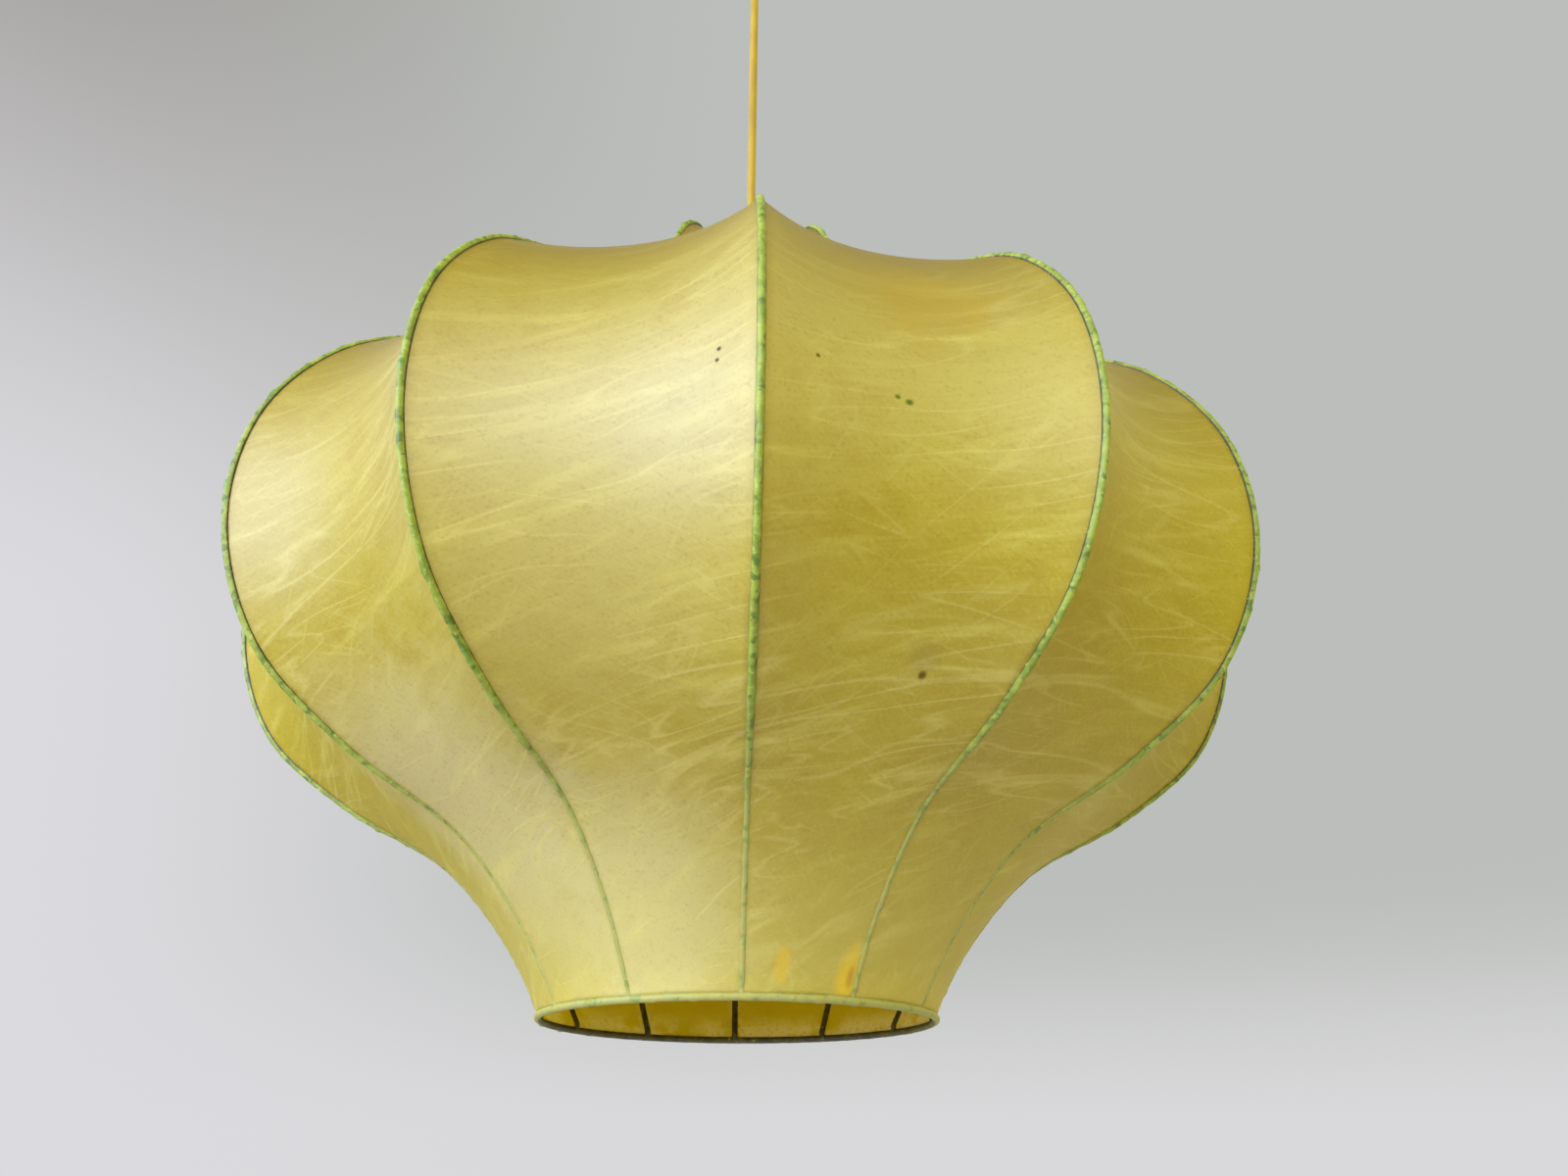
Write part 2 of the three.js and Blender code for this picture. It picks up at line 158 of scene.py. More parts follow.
class Finish:
    """One material and the nodes that make it."""

    def __init__(self, name):
        self.material = bpy.data.materials.new(name)
        self.material.use_nodes = True
        self.tree = self.material.node_tree
        self.tree.nodes.clear()

    def node(self, kind, settings=None, inputs=None, out=0):
        """Any node: its type, its settings, the values or links of its sockets, and the output wanted."""
        made = self.tree.nodes.new("ShaderNode" + kind)
        for key, value in (settings or {}).items():
            setattr(made, key, value)
        for key, value in (inputs or {}).items():
            if isinstance(value, Value):
                self.tree.links.new(value.socket, made.inputs[key])
            else:
                made.inputs[key].default_value = value
        return Value(self, made.outputs[out])

    def place(self, stretch=(1, 1, 1)):
        """The piece's own coordinates in metres, stretched."""
        where = self.node("TexCoord", out="Object")
        return self.node("Mapping", None, {"Vector": where, "Scale": stretch})

    def maths(self, operation, first, second=0.0, **more):
        """A Math node on one or two values."""
        return self.node("Math", {"operation": operation, **more}, {0: first, 1: second})

    def noise(self, where, scale, detail=2.0, rough=0.5, bend=0.0):
        """Soft noise from 0 to 1."""
        inputs = {"Vector": where, "Scale": scale, "Detail": detail, "Roughness": rough, "Distortion": bend}
        return self.node("TexNoise", None, inputs)

    def colours(self, factor, first, second, how="MIX"):
        """Two colours mixed by a factor."""
        settings = {"data_type": "RGBA", "blend_type": how}
        return self.node("Mix", settings, {0: factor, 6: first, 7: second}, out=2)

    def bump(self, height, depth, strength=1.0, under=None):
        """A Normal that makes the height show as relief of that depth, in metres."""
        inputs = {"Height": height, "Distance": depth, "Strength": strength}
        if under is not None:
            inputs["Normal"] = under
        return self.node("Bump", None, inputs)

    def principled(self, **sockets):
        """The Principled shader, its sockets named with _ for a space."""
        inputs = {key.replace("_", " "): value for key, value in sockets.items()}
        return self.node("BsdfPrincipled", None, inputs)

    def output(self, shader):
        """Joins the shader to the material's output, and gives the material."""
        end = self.tree.nodes.new("ShaderNodeOutputMaterial")
        self.tree.links.new(shader.socket, end.inputs["Surface"])
        print("finish:", self.material.name, "with", len(self.tree.nodes), "nodes")
        return self.material


# %% [markdown]
# The wall that shows behind the lamp is plain pale grey. Painted shade makes it greyer higher up, most of all
# on the left, so its colour turns slowly from one pale grey to another with the direction. The light that
# reaches the lamp from all round is a second set of colours. It is brightest above the horizon, cool on the
# left and warm on the right, warm and dimmer below, where the floor is, and dim straight above.

# %% The pale room
class Room(Finish):
    """The world's own graph, written in the same way as a material's."""

    def __init__(self, name):
        self.material = bpy.data.worlds.new(name)
        self.material.use_nodes = True
        self.tree = self.material.node_tree
        self.tree.nodes.clear()


room = Room("room")
direction = room.node("TexCoord", out="Generated")
sideways = room.node("SeparateXYZ", None, {"Vector": direction}, out="X")
upwards = room.node("SeparateXYZ", None, {"Vector": direction}, out="Z")

# painted shade: the wall's colour darkens higher up, most of all on the left
left_wall = room.colours(upwards.between(0.34, 0.88), paint(219, 218, 222), paint(142, 139, 133))
right_wall = room.colours(upwards.between(0.02, 0.20), paint(217, 216, 218), paint(187, 190, 186))
wall_colour = room.colours(sideways.between(-0.50, 0.02), left_wall, right_wall)

cool_left, warm_right = (1.40, 1.38, 1.30, 1.0), (1.36, 1.31, 0.66, 1.0)
from_below, from_overhead = (0.82, 0.77, 0.34, 1.0), (0.50, 0.47, 0.34, 1.0)
from_walls = room.colours(sideways.between(-0.35, 0.45), cool_left, warm_right)
light_colour = room.colours(upwards.between(-0.05, 0.40), from_below, from_walls)
light_colour = room.colours(upwards.between(0.55, 0.95), light_colour, from_overhead)

seen = room.node("LightPath", out="Is Camera Ray")
room_colour = room.colours(seen, light_colour, wall_colour)
lit = room.node("Background", None, {"Color": room_colour, "Strength": 1.0})
world_output = room.tree.nodes.new("ShaderNodeOutputWorld")
room.tree.links.new(lit.socket, world_output.inputs["Surface"])
bpy.context.scene.world = room.material
bpy.context.scene.view_settings.view_transform = "Standard"

# %% [markdown]
# ## Surfaces from arrays
# Each new piece is a grid of points worked out with numpy. `quads` turns such a grid into a mesh, and
# `piece` closes its poles, points its faces outwards and puts it in the place of its CAD nodes.
# Lengths are in metres; the profiles of the fittings are easier to read in millimetres.

# %% A grid of points becomes a mesh
MM = 0.001
SAME_PLACE = 1e-6


def quads(name, points, close_rows=False, close_columns=False, chart=None):
    """One four-sided face between each point and its next neighbours along the rows and the columns.
    A closed direction joins the last line back to the first. chart gives two map values per point, with
    one line more in each closed direction."""
    rows, columns = points.shape[:2]
    i, j = np.meshgrid(
        np.arange(rows - (not close_rows)), np.arange(columns - (not close_columns)), indexing="ij"
    )
    corner_rows = np.stack([i, i, i + 1, i + 1], axis=-1).reshape(-1, 4)
    corner_columns = np.stack([j, j + 1, j + 1, j], axis=-1).reshape(-1, 4)
    corners = (corner_rows % rows) * columns + corner_columns % columns
    mesh = bpy.data.meshes.new(name)
    mesh.vertices.add(rows * columns)
    mesh.vertices.foreach_set("co", points.astype(np.float32).ravel())
    mesh.loops.add(corners.size)
    mesh.loops.foreach_set("vertex_index", corners.astype(np.int32).ravel())
    mesh.polygons.add(len(corners))
    mesh.polygons.foreach_set("loop_start", np.arange(0, corners.size, 4, dtype=np.int32))
    mesh.update(calc_edges=True)
    if chart is not None:
        layer = mesh.uv_layers.new(name="chart")
        layer.uv.foreach_set("vector", chart[corner_rows, corner_columns].astype(np.float32).ravel())
    made = bpy.data.objects.new(name, mesh)
    bpy.context.scene.collection.objects.link(made)
    return made


def mark(made, name, values):
    """A number kept with every point of the mesh, for its material to read."""
    layer = made.data.attributes.new(name, "FLOAT", "POINT")
    layer.data.foreach_set("value", np.broadcast_to(values, len(made.data.vertices)).astype(np.float32))


def piece(made, body, slot, material, *nodes, closed=True, crease=40):
    """Merges doubled points, turns the faces of a closed mesh outwards, smooths all but the edges that
    turn by more than crease degrees, and puts the piece in the place of its CAD nodes."""
    work = bmesh.new()
    work.from_mesh(made.data)
    bmesh.ops.remove_doubles(work, verts=work.verts, dist=SAME_PLACE)
    if closed and work.calc_volume(signed=True) < 0:
        bmesh.ops.reverse_faces(work, faces=work.faces)
    work.to_mesh(made.data)
    work.free()
    made.data.shade_smooth()
    made.data.set_sharp_from_angle(angle=math.radians(crease))
    made.data.materials.append(material)
    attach(made, body)
    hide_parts(*nodes)
    print(f"{made.name}: {len(made.data.polygons)} faces on {body}")
    return made


# %% [markdown]
# ## The flex
# A round yellow PVC flex carries the lamp. It hangs taut, so it is a straight tube: a circle carried along
# a line of points from inside the lampholder's cap up to the mouth of the bush at the ceiling. The flex's
# end inside the ceiling cup is a second, shorter tube.

# %% The flex's finish
def flex_finish():
    """Satin sheath, its colour a little uneven along its length, with dust and faint long dents."""
    f = Finish("yellow_flex")
    cloud = f.noise(f.place((1, 1, 0.25)), 160, 3)
    dust = f.noise(f.place(), 900, 2)
    worn = f.colours(cloud.between(0.35, 0.7), paint(162, 132, 12), paint(148, 118, 10))
    colour = f.colours(dust.between(0.62, 0.75) * 0.35, worn, paint(160, 122, 46))
    relief = f.bump(f.noise(f.place((1, 1, 0.15)), 260, 2), 0.2 * MM)
    return f.output(f.principled(
        Base_Color=colour, Roughness=0.32 + 0.15 * dust, Specular_IOR_Level=0.5, Coat_Weight=0.25,
        Coat_Roughness=0.2, Normal=relief,
    ))


yellow_flex = flex_finish()


# %% The flex itself
def tube(name, line, radius, sides=16):
    """A straight upright tube: a circle round each point of the line, its two ends closed at a point."""
    around = np.linspace(0, 2 * np.pi, sides, endpoint=False)
    circle = np.column_stack([np.cos(around), np.sin(around), np.zeros(sides)])
    grown = np.concatenate([[0.0], np.full(len(line), radius), [0.0]])[:, None, None]
    centres = np.concatenate([line[:1], line, line[-1:]])[:, None, :]
    return quads(name, centres + grown * circle, close_columns=True)


def upright_line(low, high, count):
    """Evenly spaced points on the lamp's axis."""
    return np.column_stack([np.zeros(count), np.zeros(count), np.linspace(low, high, count)])


def heights(node):
    """The heights of the bottom and the top of a CAD node."""
    return (corner.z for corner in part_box(node))


flex_radius = 2.8 * MM
flex_low, flex_high = heights("flex_cord")
flex_line = upright_line(flex_low, flex_high, 28)
flex = piece(tube("flex", flex_line, flex_radius), "pendant", "yellow_flex", yellow_flex, "flex_cord")
tail = tube("flex_in_cup", upright_line(*heights("flex_tail"), 8), flex_radius)
piece(tail, "ceiling", "yellow_flex", yellow_flex, "flex_tail")
print(f"the flex is {flex_high - flex_low:.3f} m long")

# %% [markdown]
# ## The line of a rib
# All the ribs are bent to one outline, which is repeated here from the CAD part as radius and height. A
# smooth curve runs through the points: between two of them it is a cubic whose slopes come from the
# neighbours, spaced by the square root of their distance, which keeps it from swinging out at a tight bend.

# %% The rib line
RIBS = 12
BAY = 2 * np.pi / RIBS
ring_plane = sum(heights("bottom_ring")) / 2
bottom_ring = 95 * MM
top_ring = 46 * MM
top_ring_height = 436 * MM
rib_outline = MM * np.array([
    [95, 3], [115, 36], [148, 72], [201, 102], [247, 141], [269, 197], [263, 256], [233, 301],
    [192, 326], [152, 346], [116, 372], [92, 404], [77, 431], [64, 441], [54, 438], [48.6, 436],
])


def smooth_through(points, count):
    """A centripetal Catmull-Rom curve at evenly spaced parameters. With knots d apart, the slope at a
    point is the sum of its two chords' slopes less the slope of the chord that skips it."""
    padded = np.concatenate([[2 * points[0] - points[1]], points, [2 * points[-1] - points[-2]]])
    knots = np.linalg.norm(np.diff(padded, axis=0), axis=1) ** 0.5
    along = np.linspace(0, len(points) - 1, count)
    span = np.minimum(along.astype(int), len(points) - 2)
    share = (along - span)[:, None]
    before, start, end, after = (padded[span + k] for k in range(4))
    d0, d1, d2 = (knots[span + k][:, None] for k in range(3))
    leaving = d1 * ((start - before) / d0 - (end - before) / (d0 + d1) + (end - start) / d1)
    arriving = d1 * ((end - start) / d1 - (after - start) / (d1 + d2) + (after - end) / d2)
    square = -3 * start + 3 * end - 2 * leaving - arriving
    cube = 2 * start - 2 * end + leaving + arriving
    return start + share * (leaving + share * (square + share * cube))


def rib_line(count):
    """The outline with its two ends carried on to the middle of each ring's wire."""
    inner = smooth_through(rib_outline, count - 2)
    first, last = [bottom_ring, 0.6 * MM], [top_ring + 0.8 * MM, top_ring_height]
    return np.concatenate([[first], inner, [last]])


rib_length = np.linalg.norm(np.diff(rib_line(400), axis=0), axis=1).sum()
print(f"a rib is {rib_length * 1000:.0f} mm long")

# %% [markdown]
# ## The film
# Between two ribs the film is drawn tight in both directions, so it bends inwards across the bay and
# follows the ribs along it: a saddle, like a soap film. A grid of points finds that shape by itself. Each
# point moves to the balance of its four neighbours, again and again, until nothing moves any more. This is
# done once for one bay, and twelve copies side by side make one closed skin.

# %% The tight film
FILM_ROWS = 123
FILM_COLUMNS = 24
FILM_ROUNDS = 2600


def size(vectors):
    """The length of each vector of an array."""
    return np.linalg.norm(vectors, axis=-1, keepdims=True)


def settled(grid, rounds):
    """Each inner point is pulled to the weighted mean of its neighbours, and moves by as much of that pull
    as stands square to the film. A neighbour's weight is the width of film that it carries, which is the
    spread of the other two, over its distance."""
    for _ in range(rounds):
        here = grid[1:-1, 1:-1]
        sides = grid[1:-1, :-2], grid[1:-1, 2:]
        ends = grid[:-2, 1:-1], grid[2:, 1:-1]
        width, length = size(ends[1] - ends[0]), size(sides[1] - sides[0])
        weights = [width / size(side - here) for side in sides] + [length / size(end - here) for end in ends]
        pulled = sum(weight * near for weight, near in zip(weights, (*sides, *ends))) / sum(weights)
        square = np.cross(sides[1] - sides[0], ends[1] - ends[0])
        square /= size(square)
        grid[1:-1, 1:-1] += ((pulled - here) * square).sum(axis=-1, keepdims=True) * square
    return grid


def one_bay():
    """The film from one rib to the next, about +X. Across a bay it starts as straight lines between the
    two ribs. Its first and last rows follow the rings as arcs."""
    radius, height = rib_line(FILM_ROWS).T
    share = np.linspace(-1, 1, FILM_COLUMNS + 1)
    across = np.stack(np.broadcast_arrays(
        radius[:, None] * np.cos(BAY / 2), radius[:, None] * share * np.sin(BAY / 2), height[:, None],
    ), axis=-1).copy()
    for row in (0, -1):
        across[row, :, 0] = radius[row] * np.cos(share * BAY / 2)
        across[row, :, 1] = radius[row] * np.sin(share * BAY / 2)
    return settled(across, FILM_ROUNDS)


bay = one_bay()
bulge = np.hypot(bay[:, FILM_COLUMNS // 2, 0], bay[:, FILM_COLUMNS // 2, 1])
print(f"the middle of a bay reaches {bulge.max() * 1000:.0f} mm from the axis")


# %% [markdown]
# The threads run round the lamp, so their pattern needs a map of the skin: the first value is the way
# round, measured on a circle of one radius, and the second is the way up along a rib, both in metres. The
# seam of the map lies under rib 7, at the back. Every point also keeps how near it is to a rib, 0 in the
# middle of a bay and 1 on the wire, and how far up the rib it is, from 0 to 1.

# %% Twelve bays make one skin
def turned_about_axis(points, angles):
    """Copies of the points turned by each angle about Z."""
    cos, sin = np.cos(angles)[:, None, None], np.sin(angles)[:, None, None]
    x, y = points[..., 0], points[..., 1]
    z = np.broadcast_to(points[..., 2], (len(angles), *points.shape[:2]))
    return np.stack([x * cos - y * sin, x * sin + y * cos, z], axis=-1)


map_radius = 250 * MM
back_rib = np.pi / 2
bays = turned_about_axis(bay[:, :-1], back_rib + (np.arange(RIBS) + 0.5) * BAY)
skin_points = np.concatenate(list(bays), axis=1) + [0, 0, ring_plane]
way_up = np.concatenate([[0], np.cumsum(np.linalg.norm(np.diff(rib_line(FILM_ROWS), axis=0), axis=1))])
way_round = np.arange(RIBS * FILM_COLUMNS + 1) / (RIBS * FILM_COLUMNS) * 2 * np.pi * map_radius
film_chart = np.stack(np.meshgrid(way_round, way_up), axis=-1)
skin = quads("film", skin_points, close_columns=True, chart=film_chart)

bay_share = np.tile(np.abs(np.linspace(-1, 1, FILM_COLUMNS + 1)[:-1]), RIBS)
mark(skin, "near_rib", np.tile(bay_share, FILM_ROWS))
mark(skin, "height", np.repeat(way_up / way_up[-1], RIBS * FILM_COLUMNS))

# %% [markdown]
# ## The film's look
# The skin is a felt of sprayed threads soaked in yellow lacquer. It is never even: clouds where the lacquer
# is thicker, bundles of pale threads running round and up, yellow stains near the mouth and a few dark
# specks.
# Pale patches are painted highlights, put where the windows' reflections fall. The marks that have a place
# are listed here by their place on the map.

# %% Marks with a place
# the way round, the way up, the reach, how ragged the edge is, the strength and the colour
# painted highlights: pale patches where the windows' reflections fall on the front and the left
PAINTED_HIGHLIGHTS = [
    (0.69, 0.02, 0.13, 0.05, 0.5, paint(232, 226, 168)),
    (0.57, 0.10, 0.12, 0.05, 0.5, paint(228, 222, 168)),
    (0.71, 0.25, 0.15, 0.05, 0.25, paint(226, 220, 160)),
    (0.84, 0.33, 0.13, 0.05, 0.4, paint(220, 212, 124)),
]
STAINS = [
    (0.9021, 0.0100, 0.018, 0.02, 0.8, paint(232, 198, 0)),
    (0.9060, 0.0104, 0.007, 0.01, 0.6, paint(176, 118, 0)),
    (0.8268, 0.0140, 0.010, 0.02, 0.6, paint(228, 190, 0)),
    (0.8578, 0.3405, 0.045, 0.05, 0.5, paint(186, 156, 0)),
    (0.8700, 0.1650, 0.010, 0.03, 0.2, paint(120, 84, 10)),
]
SPECKS = [
    (0.7674, 0.2815, 0.0014, 0.0, 0.95, paint(52, 44, 20)),
    (0.7667, 0.2767, 0.0013, 0.0, 0.95, paint(60, 50, 24)),
    (0.8108, 0.2835, 0.0014, 0.0, 0.95, paint(96, 70, 20)),
    (0.8424, 0.2759, 0.0017, 0.0, 0.95, paint(96, 120, 30)),
    (0.8468, 0.2744, 0.0022, 0.0, 0.95, paint(84, 112, 28)),
    (0.8710, 0.1560, 0.0030, 0.0, 0.95, paint(96, 78, 14)),
]
print(len(PAINTED_HIGHLIGHTS), "pale patches,", len(STAINS), "stains and", len(SPECKS), "specks")


# %% The finish of the film, outside and inside
def film_finish(name, inside):
    """Clouds and threads in a yellow that lets light through. The outside has a satin lacquer, missing only
    at the specks. The inside has none: it is plainer and more yellow, with a pale crust of dried threads
    along the wires and the bottom ring."""
    f = Finish(name)
    chart = f.node("UVMap", {"uv_map": "chart"})
    near_rib = f.node("Attribute", {"attribute_name": "near_rib"}, out="Fac")
    height = f.node("Attribute", {"attribute_name": "height"}, out="Fac")

    def drawn_out(angle, along, across, shift, detail=3.0, bend=0.0):
        """Noise drawn out at an angle on the map, with so many blobs in a metre along and across."""
        spin = {"Vector": chart, "Rotation": (0, 0, math.radians(-angle)), "Location": (shift, shift, 0)}
        turned_chart = f.node("Mapping", None, spin)
        drawn = f.node("Mapping", None, {"Vector": turned_chart, "Scale": (along, across, 1)})
        return f.noise(drawn, 1, detail, 0.6, bend)

    def threads(angle, along, across, shift, width):
        """Long fine lines where drawn-out noise crosses its middle value, shown only in patches."""
        away = f.maths("ABSOLUTE", drawn_out(angle, along, across, shift, 1.0, 0.105) - 0.5)
        patches = f.noise(chart, 9 + shift, 1.0).between(0.44, 0.64)
        return (1.0 - away / width).clamped() * patches

    def blot(across, up, reach, ragged):
        """A soft round mark about a place on the map."""
        apart = f.node("VectorMath", {"operation": "DISTANCE"}, {0: chart, 1: (across, up, 0)}, out=1)
        return 1.0 - (apart + ragged * (mottle - 0.5)).between(0.25 * reach, reach)

    def marked(ground, marks):
        """The ground colour with marks laid over it one by one."""
        for across, up, reach, ragged, strength, colour in marks:
            ground = f.colours(blot(across, up, reach, ragged) * strength, ground, colour)
        return ground

    cloud = f.noise(f.place(), 9, 4, 0.55)
    mottle = f.noise(f.place(), 55, 3, 0.6)
    felt = f.noise(f.place(), 620, 3, 0.65)
    fibres = drawn_out(14, 70, 800, 7.7, 2.0, 0.21) * 0.5 + drawn_out(-40, 90, 750, 3.9, 2.0, 0.21) * 0.5
    wisps = (drawn_out(12, 7, 75, 0.0, 4.0, 0.14).between(0.50, 0.80) * 0.6
             + drawn_out(24, 9, 90, 2.3, 4.0, 0.175).between(0.52, 0.82) * 0.5
             + drawn_out(-14, 10, 100, 5.1, 4.0, 0.175).between(0.56, 0.84) * 0.4).clamped()
    lines = (threads(13, 5, 42, 1.7, 0.020) + threads(19, 7, 50, 4.4, 0.018) * 0.8
             + threads(6, 6, 46, 6.2, 0.016) * 0.7 + threads(52, 8, 50, 8.8, 0.015) * 0.5
             + threads(-22, 8, 54, 11.3, 0.014) * 0.5).clamped()

    body = f.colours(cloud.between(0.3, 0.7), paint(180, 162, 0), paint(189, 174, 4))
    body = f.colours(mottle.between(0.5, 0.8) * 0.4, body, paint(172, 146, 0))
    # the pale patches laid on here are painted highlights
    body = marked(body, PAINTED_HIGHLIGHTS)
    body = f.colours(wisps * 0.8, body, paint(216, 208, 92))
    body = f.colours(lines * 0.45, body, paint(224, 216, 116))
    nap = fibres * 0.5 + felt * 0.5
    body = f.colours(nap.between(0.50, 0.64) * 0.35, body, paint(206, 196, 92))
    body = f.colours(nap.between(0.50, 0.36) * 0.35, body, paint(158, 126, 0))
    # darker film right beside each wire: partly its thicker fillet there and partly painted shade
    body = f.colours(near_rib.between(0.88, 1.0) * 0.3, body, paint(150, 128, 0))
    # painted shade: the top of the film, round the crown, is darker because it gets less light
    painted_crown_shade = height.between(0.42, 0.68) * 0.8
    body = f.colours(painted_crown_shade, body, paint(130, 106, 0))
    # painted light: the neck is paler all round, standing for the light that its front and left side catch
    neck = (1.0 - height.between(0.02, 0.17)) * 0.4
    body = f.colours(neck, body, paint(206, 198, 110))
    body = marked(marked(body, STAINS), SPECKS)

    glow = f.colours(1.0, body, paint(255, 248, 60), "MULTIPLY")
    glow = f.colours(0.45, glow, paint(250, 232, 0))
    swells = f.bump(mottle * 0.5 + lines * 0.5, 0.5 * MM, 0.25)
    relief = f.bump(felt * 0.6 + fibres * 0.4, 0.4 * MM, 0.30, swells)
    if inside:
        by_the_wires = near_rib.between(0.80, 0.96) * 0.7
        by_the_ring = (1.0 - height.between(0.006, 0.030)) * 0.9
        crust = (by_the_wires + by_the_ring).clamped()
        crust = crust * mottle.between(0.32, 0.52) * felt.between(0.28, 0.50)
        body = f.colours(0.5, body, paint(222, 196, 8))
        body = f.colours(crust * 0.9, body, paint(236, 226, 176))
        glow = f.colours(crust * 0.8, glow, paint(255, 246, 186))
        surface = f.principled(Base_Color=body, Roughness=0.7, Specular_IOR_Level=0.2, Normal=relief)
        share = 0.74 - 0.3 * crust - 0.10 * wisps
    else:
        bare_specks = [blot(*speck[:4]) for speck in SPECKS]
        lacquer = (1.0 - sum(bare_specks[1:], bare_specks[0])).clamped()
        surface = f.principled(
            Base_Color=body, Roughness=0.44 + 0.14 * mottle, Specular_IOR_Level=0.2, Coat_Weight=lacquer,
            Coat_Roughness=0.48, Coat_IOR=1.66, Normal=relief,
        )
        share = 0.44 - 0.10 * wisps
    through = f.node("BsdfTranslucent", None, {"Color": glow, "Normal": relief})
    return f.output(f.node("MixShader", None, {0: share, 1: surface, 2: through}))


film = film_finish("film", inside=False)
film_inside = film_finish("film_inside", inside=True)
panels = [f"skin_panel_{number:02d}" for number in range(1, RIBS + 1)]
piece(skin, "pendant", "film", film, *panels, closed=False, crease=60)

# %% The film's thickness
# Solidify gives the skin its two faces. Each wears its own material.
skin.data.materials.append(film_inside)
wall = skin.modifiers.new("thickness", "SOLIDIFY")
wall.thickness = 0.4 * MM
wall.offset = 0
wall.material_offset = 1
print(f"the film is {wall.thickness / MM:.1f} mm thick")

# %% [markdown]
# ## The coated wires
# The ribs and rings are plain round wire. On the outside the threads lie over them and the lacquer has
# gathered there in a lumpy green ridge. On the inside the wire is still bare and dark. Each rib is a tube
# whose radius wanders, so the ridge is uneven in its shape as well as in its colour. Low down, where the
# film is pulled tightest, the ridge is thin and pale.

# %% Uneven coats
COAT_SIDES = 14


def wander(along, around, seed, waves=14):
    """Smooth unevenness between about -1 and 1: a sum of waves along the wire, each with its own length
    and its own whole number of turns round it."""
    draw = np.random.default_rng(seed)
    lengths = draw.uniform(3, 16, waves) * MM
    turns = draw.integers(0, 4, waves)
    phases = draw.uniform(0, 2 * np.pi, waves)
    angle = 2 * np.pi * along[..., None] / lengths + turns * around[..., None] + phases
    return np.sin(angle).sum(axis=-1) / waves ** 0.5 / 1.4


def beads(along, around, seed, count, length):
    """A few drops of lacquer: bumps that fade over a millimetre or two along and round the wire."""
    draw = np.random.default_rng(seed)
    places = draw.uniform(0, length, count)
    angles = draw.uniform(-1.6, 1.6, count)
    sizes = draw.uniform(0.35, 1.0, count)
    widths = draw.uniform(0.9, 2.4, count) * MM
    near = np.exp(-((along[..., None] - places) / widths) ** 2)
    facing = np.exp(-((around[..., None] - angles) / 0.9) ** 2)
    return (near * facing * sizes).sum(axis=-1)


def coated_tube(name, line, outward, upright, sizes, seed, closed=False):
    """A tube round a line: at each point, outward and upright span its section. Its radius on the side of
    the film's outer face, on its inner face and to the sides are the three sizes, and lumps are added."""
    steps = np.linalg.norm(np.diff(line, axis=0), axis=1)
    along = np.concatenate([[0], np.cumsum(steps)])
    around = np.linspace(-np.pi, np.pi, COAT_SIDES, endpoint=False)
    along_grid, around_grid = np.meshgrid(along, around, indexing="ij")
    outer, inner, side = (np.broadcast_to(given, len(line))[:, None] for given in sizes)
    facing = np.cos(around_grid)
    lumps = 0.16 * wander(along_grid, around_grid, seed)
    drops = beads(along_grid, around_grid, seed + 500, max(3, int(along[-1] * 40)), along[-1])
    coat = (facing > -0.2) * (lumps + 0.9 * drops) * MM + (facing <= -0.2) * 0.3 * lumps * MM
    if closed:
        fade = np.clip(np.minimum(along, along[-1] - along) / (8 * MM), 0, 1)[:, None]
        coat = coat * fade
    reach = np.where(facing > 0, outer, inner) + coat * np.abs(facing)
    wide = side + np.clip(-3 * facing, 0, 1) * (inner - side)
    points = (line[:, None] + (reach * facing)[..., None] * outward[:, None]
              + ((wide + coat * 0.8) * np.sin(around_grid))[..., None] * upright[:, None])
    if closed:
        points = points[:-1]
        facing, drops = facing[:-1], drops[:-1]
    else:
        first, last = (np.repeat(line[[end], None], COAT_SIDES, 1) for end in (0, -1))
        points = np.concatenate([first, points, last])
        facing = np.concatenate([facing[:1], facing, facing[-1:]])
        drops = np.concatenate([drops[:1], drops, drops[-1:]])
    made = quads(name, points, close_rows=closed, close_columns=True)
    mark(made, "outside", facing.ravel())
    mark(made, "drop", drops.ravel())
    return made


def coat_finish():
    """Green lacquer over the wire outside, pale where it thins out low down, and bare dark wire inside
    with a crust of dried lacquer along it."""
    f = Finish("coated_wire")
    outside = f.node("Attribute", {"attribute_name": "outside"}, out="Fac")
    drop = f.node("Attribute", {"attribute_name": "drop"}, out="Fac")
    pale = f.node("Attribute", {"attribute_name": "pale"}, out="Fac")
    patches = f.noise(f.place(), 130, 3, 0.6)
    grains = f.noise(f.place(), 520, 3, 0.6)
    nicks = f.noise(f.place(), 240, 2, 0.5)
    green = f.colours(patches.between(0.35, 0.65), paint(110, 124, 22), paint(138, 150, 44))
    green = f.colours(grains.between(0.55, 0.75) * 0.6, green, paint(172, 184, 96))
    green = f.colours(nicks.between(0.54, 0.66) * 0.75, green, paint(58, 88, 6))
    green = f.colours((drop * 0.8).clamped(), green, paint(74, 116, 24))
    thin = f.colours(patches.between(0.4, 0.6), paint(158, 148, 70), paint(144, 142, 74))
    thin = f.colours(nicks.between(0.54, 0.64) * 0.6, thin, paint(112, 132, 44))
    green = f.colours(pale, green, thin)
    bare = f.colours(patches.between(0.4, 0.6), paint(52, 48, 12), paint(74, 68, 22))
    bare = f.colours(grains.between(0.62, 0.72) * 0.6, bare, paint(176, 166, 110))
    colour = f.colours((outside + 0.25 * (patches - 0.5)).between(-0.35, 0.05), bare, green)
    relief = f.bump(grains * 0.6 + nicks * 0.4, 0.8 * MM, 0.6)
    return f.output(f.principled(
        Base_Color=colour, Roughness=0.42 + 0.25 * grains, Specular_IOR_Level=0.5, Normal=relief,
    ))


coated_wire = coat_finish()

